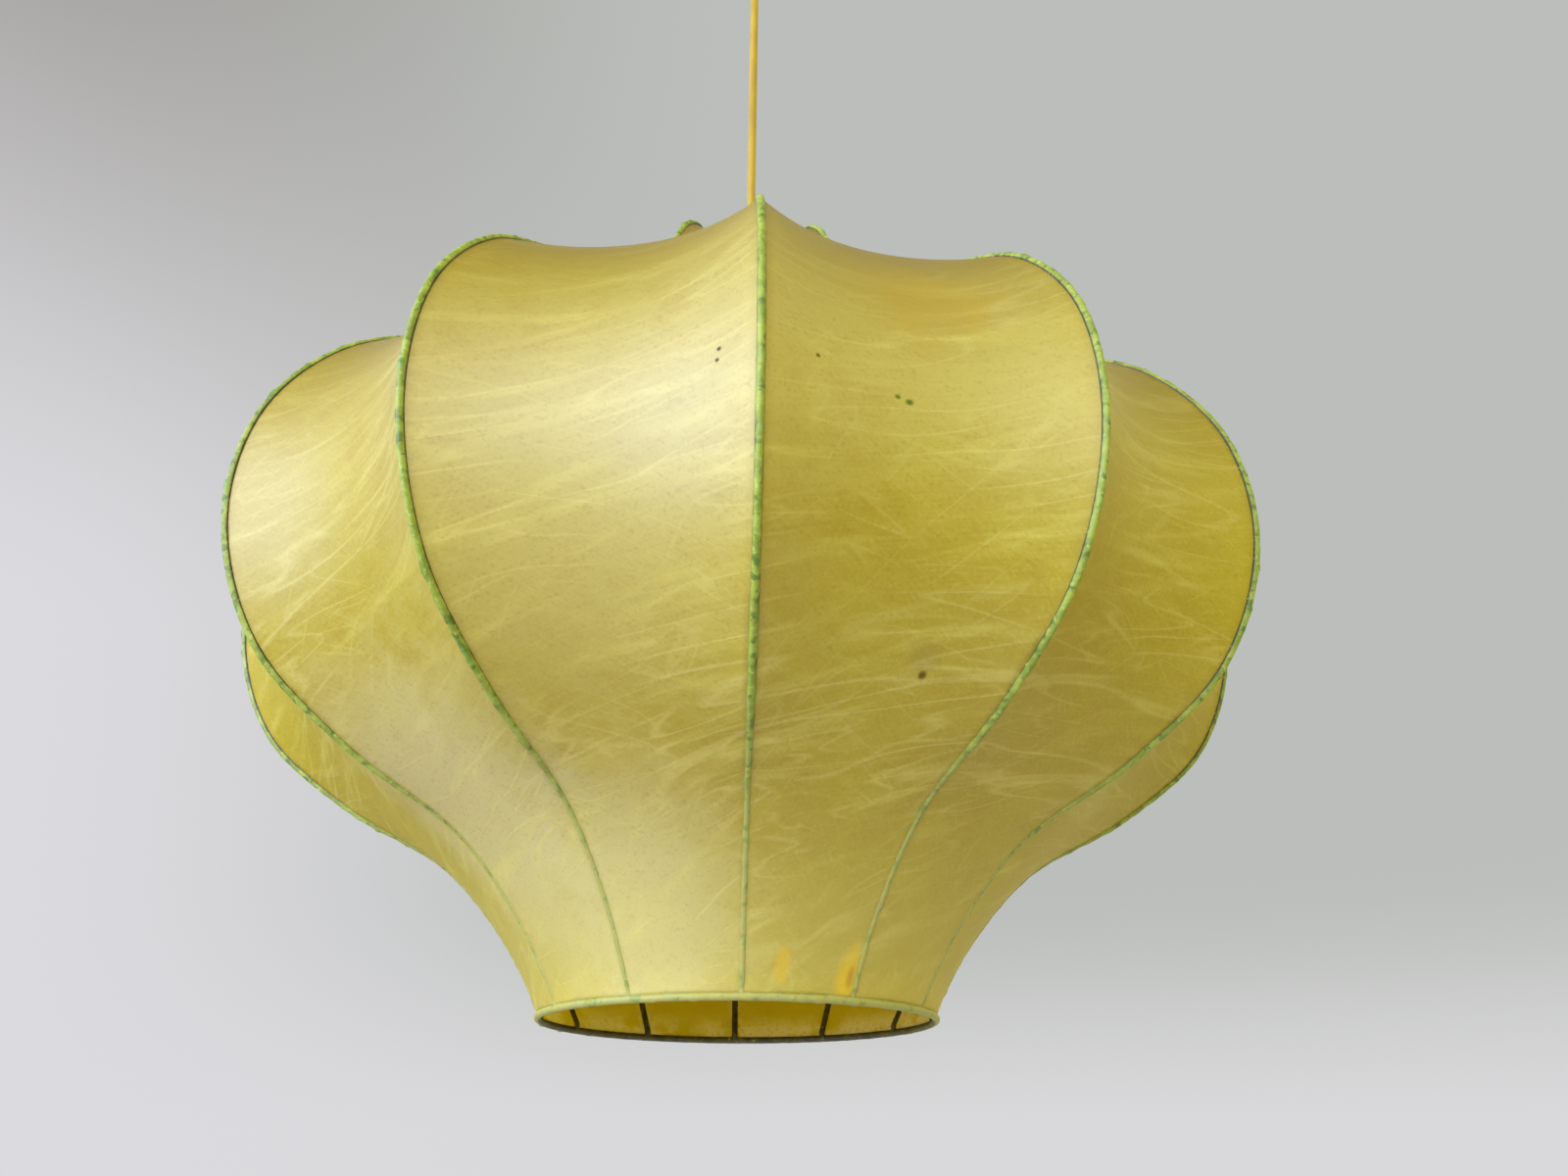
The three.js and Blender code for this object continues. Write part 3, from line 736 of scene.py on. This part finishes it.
# %% Twelve ribs
# the wire's reach on each side of its middle line, in millimetres, and what it loses where it is pale
RIDGE, RIDGE_LOSS = 1.55, 1.0
SIDE, SIDE_LOSS = 1.45, 0.3
BARE_SIDE = 1.9
RIB_PALENESS = 0.85
PALE_BELOW, PALE_FADE = 0.03, 0.14
RIB_STEPS = 380
rib_flat = rib_line(RIB_STEPS)
rib_along = np.concatenate([[0], np.cumsum(np.linalg.norm(np.diff(rib_flat, axis=0), axis=1))])
rib_share = np.clip((rib_along - PALE_BELOW) / PALE_FADE, 0, 1)
rib_pale = 1 - rib_share * rib_share * (3 - 2 * rib_share)
rib_heading = np.gradient(rib_flat, axis=0)
rib_heading /= np.linalg.norm(rib_heading, axis=1, keepdims=True)
for number in range(1, RIBS + 1):
    angle = (number - 1) * BAY - np.pi / 2
    radial = np.array([np.cos(angle), np.sin(angle), 0.0])
    line = rib_flat[:, :1] * radial + np.outer(rib_flat[:, 1] + ring_plane, [0, 0, 1])
    outward = rib_heading[:, 1:] * radial - np.outer(rib_heading[:, 0], [0, 0, 1])
    across = np.tile(np.cross([0.0, 0.0, 1.0], radial), (RIB_STEPS, 1))
    sizes = (RIDGE - RIDGE_LOSS * rib_pale) * MM, BARE_SIDE * MM, (SIDE - SIDE_LOSS * rib_pale) * MM
    rib = coated_tube(f"coated_rib_{number:02d}", line, outward, across, sizes, seed=number)
    ends = np.concatenate([rib_pale[:1], rib_pale, rib_pale[-1:]])
    mark(rib, "pale", np.repeat(RIB_PALENESS * ends, COAT_SIDES))
    piece(rib, "pendant", "coated_wire", coated_wire, f"rib_{number:02d}", crease=70)


# %% Two rings
RING_STEPS = 241


def coated_ring(name, node, radius, height, sizes, seed, paleness):
    """A coated tube round a circle. Its last point is its first again."""
    around = np.linspace(0, 2 * np.pi, RING_STEPS)
    outward = np.column_stack([np.cos(around), np.sin(around), np.zeros(RING_STEPS)])
    line = radius * outward + [0, 0, ring_plane + height]
    upright = np.tile([0.0, 0.0, 1.0], (RING_STEPS, 1))
    ring = coated_tube(name, line, outward, upright, sizes, seed, closed=True)
    mark(ring, "pale", paleness)
    piece(ring, "pendant", "coated_wire", coated_wire, node, crease=70)


bottom_sizes, top_sizes = (1.9 * MM, 1.7 * MM, 1.7 * MM), (1.9 * MM, 1.8 * MM, 1.8 * MM)
coated_ring("coated_bottom_ring", "bottom_ring", bottom_ring, 0, bottom_sizes, 21, 0.8)
coated_ring("coated_top_ring", "top_ring", top_ring, top_ring_height, top_sizes, 22, 0.0)

# %% [markdown]
# ## Turned pieces
# The lampholder, the bulb and the ceiling fitting are round, so each is a profile of radius and height
# carried round the axis. Real moulded and pressed edges are never knife sharp, so each corner of the
# profile is first replaced by a short curve.

# %% Turning a profile
ON_AXIS = 1e-9


def softened(profile, rounding, steps=4):
    """Each corner becomes a curve from a point before it to a point after it, pulled towards the corner. A
    corner on the axis stays."""
    corners = np.array(profile, dtype=float)
    before, after = np.roll(corners, 1, axis=0) - corners, np.roll(corners, -1, axis=0) - corners
    lengths = [np.linalg.norm(side, axis=1, keepdims=True) for side in (before, after)]
    keep = (corners[:, :1] > ON_AXIS) * 1.0
    reach = [keep * np.minimum(rounding, 0.42 * length) / np.maximum(length, ON_AXIS) for length in lengths]
    start, end = corners + before * reach[0], corners + after * reach[1]
    share = np.linspace(0, 1, steps)[None, :, None]
    curve = ((1 - share) ** 2 * start[:, None] + 2 * share * (1 - share) * corners[:, None]
             + share ** 2 * end[:, None])
    return curve.reshape(-1, 2)


def carried_round(outline, sides):
    """The points of an outline of radius and height, carried round the upright axis."""
    around = np.linspace(0, 2 * np.pi, sides, endpoint=False)
    radius, height = outline[:, :1], outline[:, 1:]
    return np.stack(np.broadcast_arrays(radius * np.cos(around), radius * np.sin(around), height), axis=-1)


def turned(name, profile, low, rounding=0.3, sides=72):
    """A closed profile in millimetres, heights measured from low, carried round the axis."""
    outline = softened(profile, rounding) * MM + [0, low]
    return quads(name, carried_round(outline, sides), close_rows=True, close_columns=True)


def lowest(node):
    """The height of the bottom of a CAD node."""
    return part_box(node)[0].z


# %% [markdown]
# The fitting's finishes: black moulded phenolic, white porcelain, zinc-plated steel, brass and cream
# plastic. None of them is one flat colour: moulding leaves flow marks, plating is cloudy, brass dulls.

# %% Finishes of the fittings
def moulded_finish(name, first, second, roughness, grain, relief_depth):
    """A moulded surface: soft cloud between two colours, fine grain in the gloss, faint relief."""
    f = Finish(name)
    cloud = f.noise(f.place(), 60, 4, 0.6, 0.6)
    fine = f.noise(f.place(), grain, 3, 0.6)
    specks = f.noise(f.place(), grain * 0.6, 1, 0.4)
    colour = f.colours(cloud.between(0.35, 0.65), first, second)
    colour = f.colours(specks.between(0.70, 0.78) * 0.5, colour, paint(120, 110, 90))
    relief = f.bump(fine * 0.4 + cloud * 0.6, relief_depth, 0.5)
    return f.output(f.principled(
        Base_Color=colour, Roughness=roughness + 0.16 * fine, Specular_IOR_Level=0.5, Normal=relief,
    ))


def metal_finish(name, first, second, roughness, stretch):
    """Bare or plated metal: cloudy colour, and fine lines left by the tool, drawn out one way."""
    f = Finish(name)
    cloud = f.noise(f.place(), 90, 3, 0.6, 0.4)
    lines = f.noise(f.place(stretch), 500, 2, 0.5)
    dull = f.noise(f.place(), 35, 4, 0.65)
    colour = f.colours(cloud.between(0.3, 0.7), first, second)
    relief = f.bump(lines, 0.0002, 0.4)
    return f.output(f.principled(
        Base_Color=colour, Metallic=0.95 - 0.25 * dull.between(0.55, 0.75),
        Roughness=roughness + 0.18 * dull + 0.08 * lines, Normal=relief,
    ))


def clear_glass(name, tint, roughness):
    """Blown glass: clear, with faint waves in its surface."""
    f = Finish(name)
    waves = f.noise(f.place(), 45, 2, 0.5)
    dust = f.noise(f.place(), 300, 3, 0.6)
    relief = f.bump(waves, 0.0006, 0.25)
    return f.output(f.principled(
        Base_Color=f.colours(dust.between(0.6, 0.8) * 0.3, tint, paint(226, 222, 208)),
        Roughness=roughness + 0.06 * dust.between(0.55, 0.8), Transmission_Weight=1.0, IOR=1.5, Normal=relief,
    ))


bakelite = moulded_finish("bakelite", paint(34, 28, 25), paint(50, 40, 34), 0.22, 700, 0.0002)
cream_plastic = moulded_finish("cream_plastic", paint(226, 219, 196), paint(234, 228, 208), 0.34, 500, 0.0003)
porcelain = moulded_finish("ceramic", paint(236, 233, 224), paint(228, 224, 214), 0.3, 420, 0.0002)
zinc_steel = metal_finish("zinc_steel", paint(196, 198, 198), paint(176, 178, 182), 0.3, (1, 1, 0.1))
brass = metal_finish("brass", paint(206, 172, 104), paint(184, 148, 84), 0.26, (1, 1, 8))
solder = metal_finish("solder", paint(190, 190, 188), paint(160, 160, 160), 0.35, (1, 1, 1))
tungsten = metal_finish("tungsten", paint(120, 116, 112), paint(96, 92, 90), 0.35, (1, 1, 1))
bulb_clear = clear_glass("bulb_glass", paint(250, 251, 250), 0.0)
stem_clear = clear_glass("stem_glass", paint(236, 242, 238), 0.04)

# %% [markdown]
# ## The lampholder
# A steel plate closes the top ring. The lampholder's cap stands on it and its skirt screws up through the
# plate's hole, and a ring on the skirt's thread clamps the plate from below.

# %% Plate, cap, skirt and ring
plate_profile = [[20.2, 0], [43.7, 0], [43.7, 1.5], [20.2, 1.5]]
plate = turned("top_plate_pressed", plate_profile, lowest("top_plate"), 0.5, 96)
piece(plate, "pendant", "zinc_steel", zinc_steel, "top_plate")
cap_profile = [
    [20, 0], [24, 0], [24, 3], [22.4, 4], [22, 16], [19, 25], [12, 30], [8, 31], [8, 33], [6.4, 33],
    [6.4, 28.5], [11, 27.5], [16, 23.5], [17.6, 16], [17.6, 11], [20, 11],
]
cap = turned("cap_moulded", cap_profile, lowest("holder_cap"), 1.2)
piece(cap, "pendant", "bakelite", bakelite, "holder_cap")

# %% Threads and flutes
def points_of(made):
    """The places of a mesh's points, a row for each."""
    places = np.empty(len(made.data.vertices) * 3, dtype=np.float32)
    made.data.vertices.foreach_get("co", places)
    return places.reshape(-1, 3).astype(float)


def move_points(made, points):
    """Puts a mesh's points in new places."""
    made.data.vertices.foreach_set("co", points.astype(np.float32).ravel())
    made.data.update()


def threaded(made, radius_from, radius_to, pitch, depth, top, bottom):
    """A screw thread pressed into the points whose radius lies between two values: the radius rises and
    falls once for each pitch of height, less one turn for each turn round the axis."""
    points = points_of(made)
    radius = np.hypot(points[:, 0], points[:, 1])
    phase = 2 * np.pi * points[:, 2] / pitch - np.arctan2(points[:, 1], points[:, 0])
    inside = (radius > radius_from) & (radius < radius_to)
    ends = np.clip(np.minimum(top - points[:, 2], points[:, 2] - bottom) / pitch, 0, 1)
    grown = 1 + inside * ends * depth * np.cos(phase) / np.maximum(radius, ON_AXIS)
    points[:, :2] *= grown[:, None]
    move_points(made, points)


def fluted(made, beyond, count, depth, sharpness):
    """Flutes for the fingers: of the points further out than a radius, those on a crest of a wave that runs
    round the axis are drawn in by a share of their radius."""
    points = points_of(made)
    radius, angle = np.hypot(points[:, 0], points[:, 1]), np.arctan2(points[:, 1], points[:, 0])
    wave = (0.5 + 0.5 * np.cos(count * angle)) ** sharpness
    points[:, :2] *= (1 - depth * (radius > beyond) * wave)[:, None]
    move_points(made, points)


def filled(profile, step):
    """The closed profile with extra points, so that no two are further apart than step."""
    corners = np.array(profile, dtype=float)
    following = np.roll(corners, -1, axis=0)
    counts = np.maximum(1, np.ceil(np.linalg.norm(following - corners, axis=1) / step).astype(int))
    return np.concatenate([
        start + (end - start) * np.arange(count)[:, None] / count
        for start, end, count in zip(corners, following, counts)
    ])


def screwed(name, profile, low, step, sides=72):
    """A turned piece with points close enough together to carry a thread or flutes."""
    outline = filled(softened(profile, 0.3), step) * MM + [0, low]
    return quads(name, carried_round(outline, sides), close_rows=True, close_columns=True)


# %% The skirt and its ring
skirt_low = lowest("holder_skirt")
skirt_profile = [[15, 0], [18.6, 0], [19.6, 1], [19.6, 46], [17.4, 46], [17.4, 2], [15, 2]]

ring_thread = 2.2 * MM
skirt = screwed("skirt_moulded", skirt_profile, skirt_low, 0.55)
threaded(skirt, 19.0 * MM, 19.9 * MM, ring_thread, 0.18 * MM, skirt_low + 44 * MM, skirt_low + 16 * MM)
piece(skirt, "pendant", "bakelite", bakelite, "holder_skirt")

ring_profile = filled([[19.9, 0], [26, 0], [29, 3.5], [29, 5], [19.9, 5]], 1.0)
clamp = screwed("clamp_ring_moulded", ring_profile, lowest("shade_ring"), 0.8, 192)
fluted(clamp, 26.5 * MM, 48, 0.02, 3)
piece(clamp, "pendant", "bakelite", bakelite, "shade_ring")

# %% Core, shell and contact
core_low, core_high = heights("ceramic_core")
core_height = (core_high - core_low) / MM
core_profile = [[0, 0], [17.1, 0], [17.1, core_height], [0, core_height]]
core = turned("core_pressed", core_profile, core_low, 0.6, 96)
piece(core, "pendant", "ceramic", porcelain, "ceramic_core")

bulb_pitch = 3.63 * MM
shell_low, shell_high = heights("screw_shell")
shell_height = (shell_high - shell_low) / MM
shell_profile = [[13.5, 0], [14.2, 0], [14.2, shell_height], [13.5, shell_height]]
shell = screwed("shell_pressed", shell_profile, shell_low, 0.5)
threaded(shell, 13.0 * MM, 15 * MM, bulb_pitch, 0.35 * MM, shell_high + 4 * MM, shell_low - 4 * MM)
piece(shell, "pendant", "brass", brass, "screw_shell")


def bevelled(name, node, body, slot, material, width, segments=3):
    """A copy of a CAD piece whose own shape is right, with its sharp edges rounded."""
    source = bpy.data.objects[node]
    copy = bpy.data.objects.new(name, source.data.copy())
    copy.data.materials.clear()
    bpy.context.scene.collection.objects.link(copy)
    work = bmesh.new()
    work.from_mesh(copy.data)
    bmesh.ops.remove_doubles(work, verts=work.verts, dist=SAME_PLACE)
    bmesh.ops.dissolve_limit(work, angle_limit=math.radians(1), verts=work.verts, edges=work.edges)
    work.to_mesh(copy.data)
    work.free()
    made = piece(copy, body, slot, material, node, closed=False, crease=35)
    rounding = made.modifiers.new("rounding", "BEVEL")
    rounding.width = width
    rounding.segments = segments
    rounding.limit_method = "ANGLE"
    rounding.angle_limit = math.radians(40)
    return made


bevelled("contact_tongue", "centre_contact", "pendant", "brass", brass, 0.15 * MM, 2)

# %% Cord grip and its screw
grip_profile = [[3.3, 0], [6.1, 0], [6.1, 4.8], [7.5, 4.8], [7.5, 14.5], [5.5, 17.5], [3.3, 17.5]]
grip = turned("cord_grip_moulded", grip_profile, lowest("cord_grip"), 0.6)
piece(grip, "pendant", "cream_plastic", cream_plastic, "cord_grip")


def screw(name, node, body, profile, origin, facing):
    """A turned screw with a small round recess in its head, laid from the origin along a direction. The
    profile is radius and distance along the screw in millimetres."""
    local = carried_round(softened(profile, 0.25) * MM, 48)
    turn_to = np.array(Vector(facing).to_track_quat("Z", "Y").to_matrix())
    made = quads(name, local @ turn_to.T + np.array(origin), close_rows=True, close_columns=True)
    piece(made, body, "zinc_steel", zinc_steel, node)


grip_screw_profile = [
    [0, 3.1], [1.5, 3.1], [1.5, 8], [2.6, 8], [2.6, 9.4], [1.0, 9.4], [1.0, 9.0], [0, 9.0],
]
grip_height = sum(heights("grip_screw")) / 2
screw("grip_screw_turned", "grip_screw", "pendant", grip_screw_profile, (0, 0, grip_height), (1, 0, 0))

# %% [markdown]
# ## The bulb
# A clear round bulb with a brass screw cap. The thread of the cap has the pitch that the joint has, so the
# cap follows its own thread as it is unscrewed.

# %% Cap, tip, glass, stem and filament
cap_low, cap_high = heights("bulb_cap")
cap_height = (cap_high - cap_low) / MM
bulb_cap_profile = [
    [12.3, 0], [12.9, 0], [12.9, cap_height - 6], [9, cap_height - 1], [5, cap_height], [0, cap_height],
    [0, cap_height - 3], [8, cap_height - 4], [12.3, cap_height - 8],
]
bulb_cap = screwed("bulb_cap_pressed", bulb_cap_profile, cap_low, 0.5)
threaded(bulb_cap, 12.0 * MM, 13.1 * MM, bulb_pitch, 0.35 * MM, cap_high - 4 * MM, cap_low)
piece(bulb_cap, "bulb", "brass", brass, "bulb_cap")

tip_low, tip_high = heights("bulb_tip")
tip_height = (tip_high - tip_low) / MM
tip_profile = [[0, 0], [4.5, 0], [4.2, tip_height * 0.6], [2.4, tip_height * 0.95], [0, tip_height]]
piece(turned("solder_tip", tip_profile, tip_low, 0.5, 48), "bulb_carrier", "solder", solder, "bulb_tip")

# the globe's radius and the thickness of its glass, in millimetres
GLOBE = 29.5
GLASS = 0.9
glass_low, glass_high = heights("bulb_glass")
glass_height = (glass_high - glass_low) / MM
neck_low = cap_low / MM - glass_low / MM


def globe_outline(inset):
    """The globe's arc from its lowest point round to where the neck leaves it, then the neck."""
    arc = np.linspace(0, 0.66 * np.pi, 40)
    globe = np.column_stack([(GLOBE - inset) * np.sin(arc), GLOBE - (GLOBE - inset) * np.cos(arc)])
    neck = np.array([
        [17.5, GLOBE + 31], [14.2, GLOBE + 37], [12.8, GLOBE + 43], [11.9, neck_low - 3], [11.8, neck_low],
        [11.8, glass_height],
    ]) - [inset, 0]
    through = smooth_through(np.concatenate([globe[-1:], neck]), 40)
    return np.concatenate([globe[:-1], through])


glass_outline = np.concatenate([globe_outline(0), globe_outline(GLASS)[::-1]]) * MM + [0, glass_low]
globe = quads("bulb_globe", carried_round(glass_outline, 64), close_rows=True, close_columns=True)
piece(globe, "bulb", "bulb_glass", bulb_clear, "bulb_glass")

stem_low = lowest("bulb_stem")
stem_profile = [
    [0, 0], [1.6, 0], [2.4, 2], [2, 8], [3.4, 18], [4, 32], [10.3, 40], [10.3, 42], [0, 42],
]
piece(turned("glass_stem", stem_profile, stem_low, 1.0, 48), "bulb", "stem_glass", stem_clear, "bulb_stem")

stem_foot = stem_low / MM + 42
low = stem_foot - 46
filament_bends = np.array([
    [-5.5, 0, stem_foot - 26], [-8, 0, low + 8], [-11, 0, low], [-6, 6, low - 1], [0, 8, low - 1.5],
    [6, 6, low - 1], [11, 0, low], [8, 0, low + 8], [5.5, 0, stem_foot - 26],
])


def carried(name, line, radius, sides=6):
    """A thin round wire along any line. Its section is turned from point to point by the least angle that
    keeps it square to the line."""
    heading = np.gradient(line, axis=0)
    heading /= np.linalg.norm(heading, axis=1, keepdims=True)
    first = np.cross(heading, [0.3, 0.9, 0.1])
    first /= np.linalg.norm(first, axis=1, keepdims=True)
    second = np.cross(heading, first)
    around = np.linspace(0, 2 * np.pi, sides, endpoint=False)[None, :, None]
    ring = line[:, None] + radius * (np.cos(around) * first[:, None] + np.sin(around) * second[:, None])
    ends = [np.repeat(line[k][None, None], sides, 1) for k in (0, -1)]
    return quads(name, np.concatenate([ends[0], ring, ends[1]]), close_columns=True)


COIL_TURNS = 44
COIL_RADIUS = 0.35 * MM
wire_line = smooth_through(filament_bends, 520) * MM
share = np.linspace(0, 1, len(wire_line))
in_coil = np.clip(np.minimum(share - 0.27, 0.73 - share) / 0.02, 0, 1)[:, None]
coil_turns = 2 * np.pi * COIL_TURNS * share[:, None]
forward = np.gradient(wire_line, axis=0)
forward /= np.linalg.norm(forward, axis=1, keepdims=True)
sideward = np.cross(forward, [0, 0, 1.0])
coil_line = wire_line + in_coil * COIL_RADIUS * (
    np.cos(coil_turns) * sideward + np.sin(coil_turns) * np.array([0, 0, 1.0])
)
filament = carried("filament_coiled", coil_line, 0.14 * MM)
piece(filament, "bulb", "tungsten", tungsten, "bulb_filament", crease=80)

# %% [markdown]
# ## The ceiling fitting
# A steel disc is screwed to the ceiling, and a domed cup hides it, held by two screws at its sides. The
# flex comes out through a bush that hangs in the cup's hole.

# %% Cup, bush and nut
# the cup's radius, depth and wall, and the radius of the hole for its bush, in millimetres
CUP, CUP_DEPTH, CUP_WALL, CUP_HOLE = 44, 60, 1.2, 6.9


def cup_arc(inset):
    """A quarter of an ellipse from the hole out to the ceiling."""
    turn = np.linspace(np.arccos(CUP_HOLE / CUP), 0.03, 40)
    radius = np.maximum(CUP_HOLE, (CUP - inset) * np.cos(turn))
    return np.column_stack([radius, -(CUP_DEPTH - inset) * np.sin(turn)])


cup_profile = np.concatenate([cup_arc(0), cup_arc(CUP_WALL)[::-1]])
cup = turned("cup_moulded", cup_profile, 0.0, 0.15, 96)
piece(cup, "ceiling", "cream_plastic", cream_plastic, "ceiling_cup")

bush_low = lowest("cup_bush")
pivot = -CUP_DEPTH - bush_low / MM
bush_profile = [
    [3.3, pivot + 6.7], [3.3, pivot + 1], [5.6, 0], [6.4, 0], [6.4, pivot + 3.2], [10, pivot + 3.2],
    [10, pivot + 6.7],
]
piece(turned("bush_moulded", bush_profile, bush_low, 0.5), "bush", "cream_plastic", cream_plastic, "cup_bush")
nut_profile = filled([[6.7, 0], [10, 0], [10, 4.7], [6.7, 4.7]], 1.0)
nut = screwed("nut_moulded", nut_profile, lowest("bush_nut"), 0.8, 144)
fluted(nut, 9 * MM, 24, 0.05, 2)
piece(nut, "bush", "cream_plastic", cream_plastic, "bush_nut")

# %% Plate, block and screws
bevelled("ceiling_disc", "ceiling_plate", "ceiling", "zinc_steel", zinc_steel, 0.3 * MM)
bevelled("block_moulded", "terminal_block", "ceiling", "ceramic", porcelain, 0.5 * MM)
cup_screw_profile = [
    [0, 35], [1.4, 35], [1.4, 44], [3.4, 44], [3.4, 45.6], [1.2, 45.8], [1.2, 45.2], [0, 45.2],
]
small_screws = (("terminal_screw", "brass", brass), ("plate_screw", "zinc_steel", zinc_steel))
for number, side in ((1, -1), (2, 1)):
    for kind, slot, material in small_screws:
        bevelled(f"{kind}_turned_{number}", f"{kind}_{number}", "ceiling", slot, material, 0.2 * MM)
    screw(
        f"cup_screw_turned_{number}", f"cup_screw_{number}", "ceiling", cup_screw_profile,
        (0, 0, -8 * MM), (side, 0, 0),
    )

# %% [markdown]
# ## The ceiling fitting's pieces
# The flex ends in its ceiling fitting, whose pieces are listed here by name.

# %% The fitting's pieces
fitting = ["ceiling_disc", "cup_moulded", "bush_moulded", "nut_moulded", "block_moulded", "flex_in_cup"]
for kind in ("terminal_screw", "plate_screw", "cup_screw"):
    fitting += [f"{kind}_turned_{number}" for number in (1, 2)]

# %% [markdown]
# ## The floor
# A plain pale floor far below sends soft light back up into the lamp.

# %% The floor
def floor_finish():
    """Pale matt paint, barely clouded."""
    f = Finish("floor")
    cloud = f.noise(f.place(), 1.5, 3)
    colour = f.colours(cloud, paint(206, 205, 212), paint(211, 210, 216))
    return f.output(f.principled(Base_Color=colour, Roughness=0.8))


FLOOR_HEIGHT = -3.0
FLOOR_REACH = 7.0
edges = (-FLOOR_REACH, FLOOR_REACH)
floor = quads("floor", np.array([[[x, y, FLOOR_HEIGHT] for x in edges] for y in edges]))
floor.data.materials.append(floor_finish())
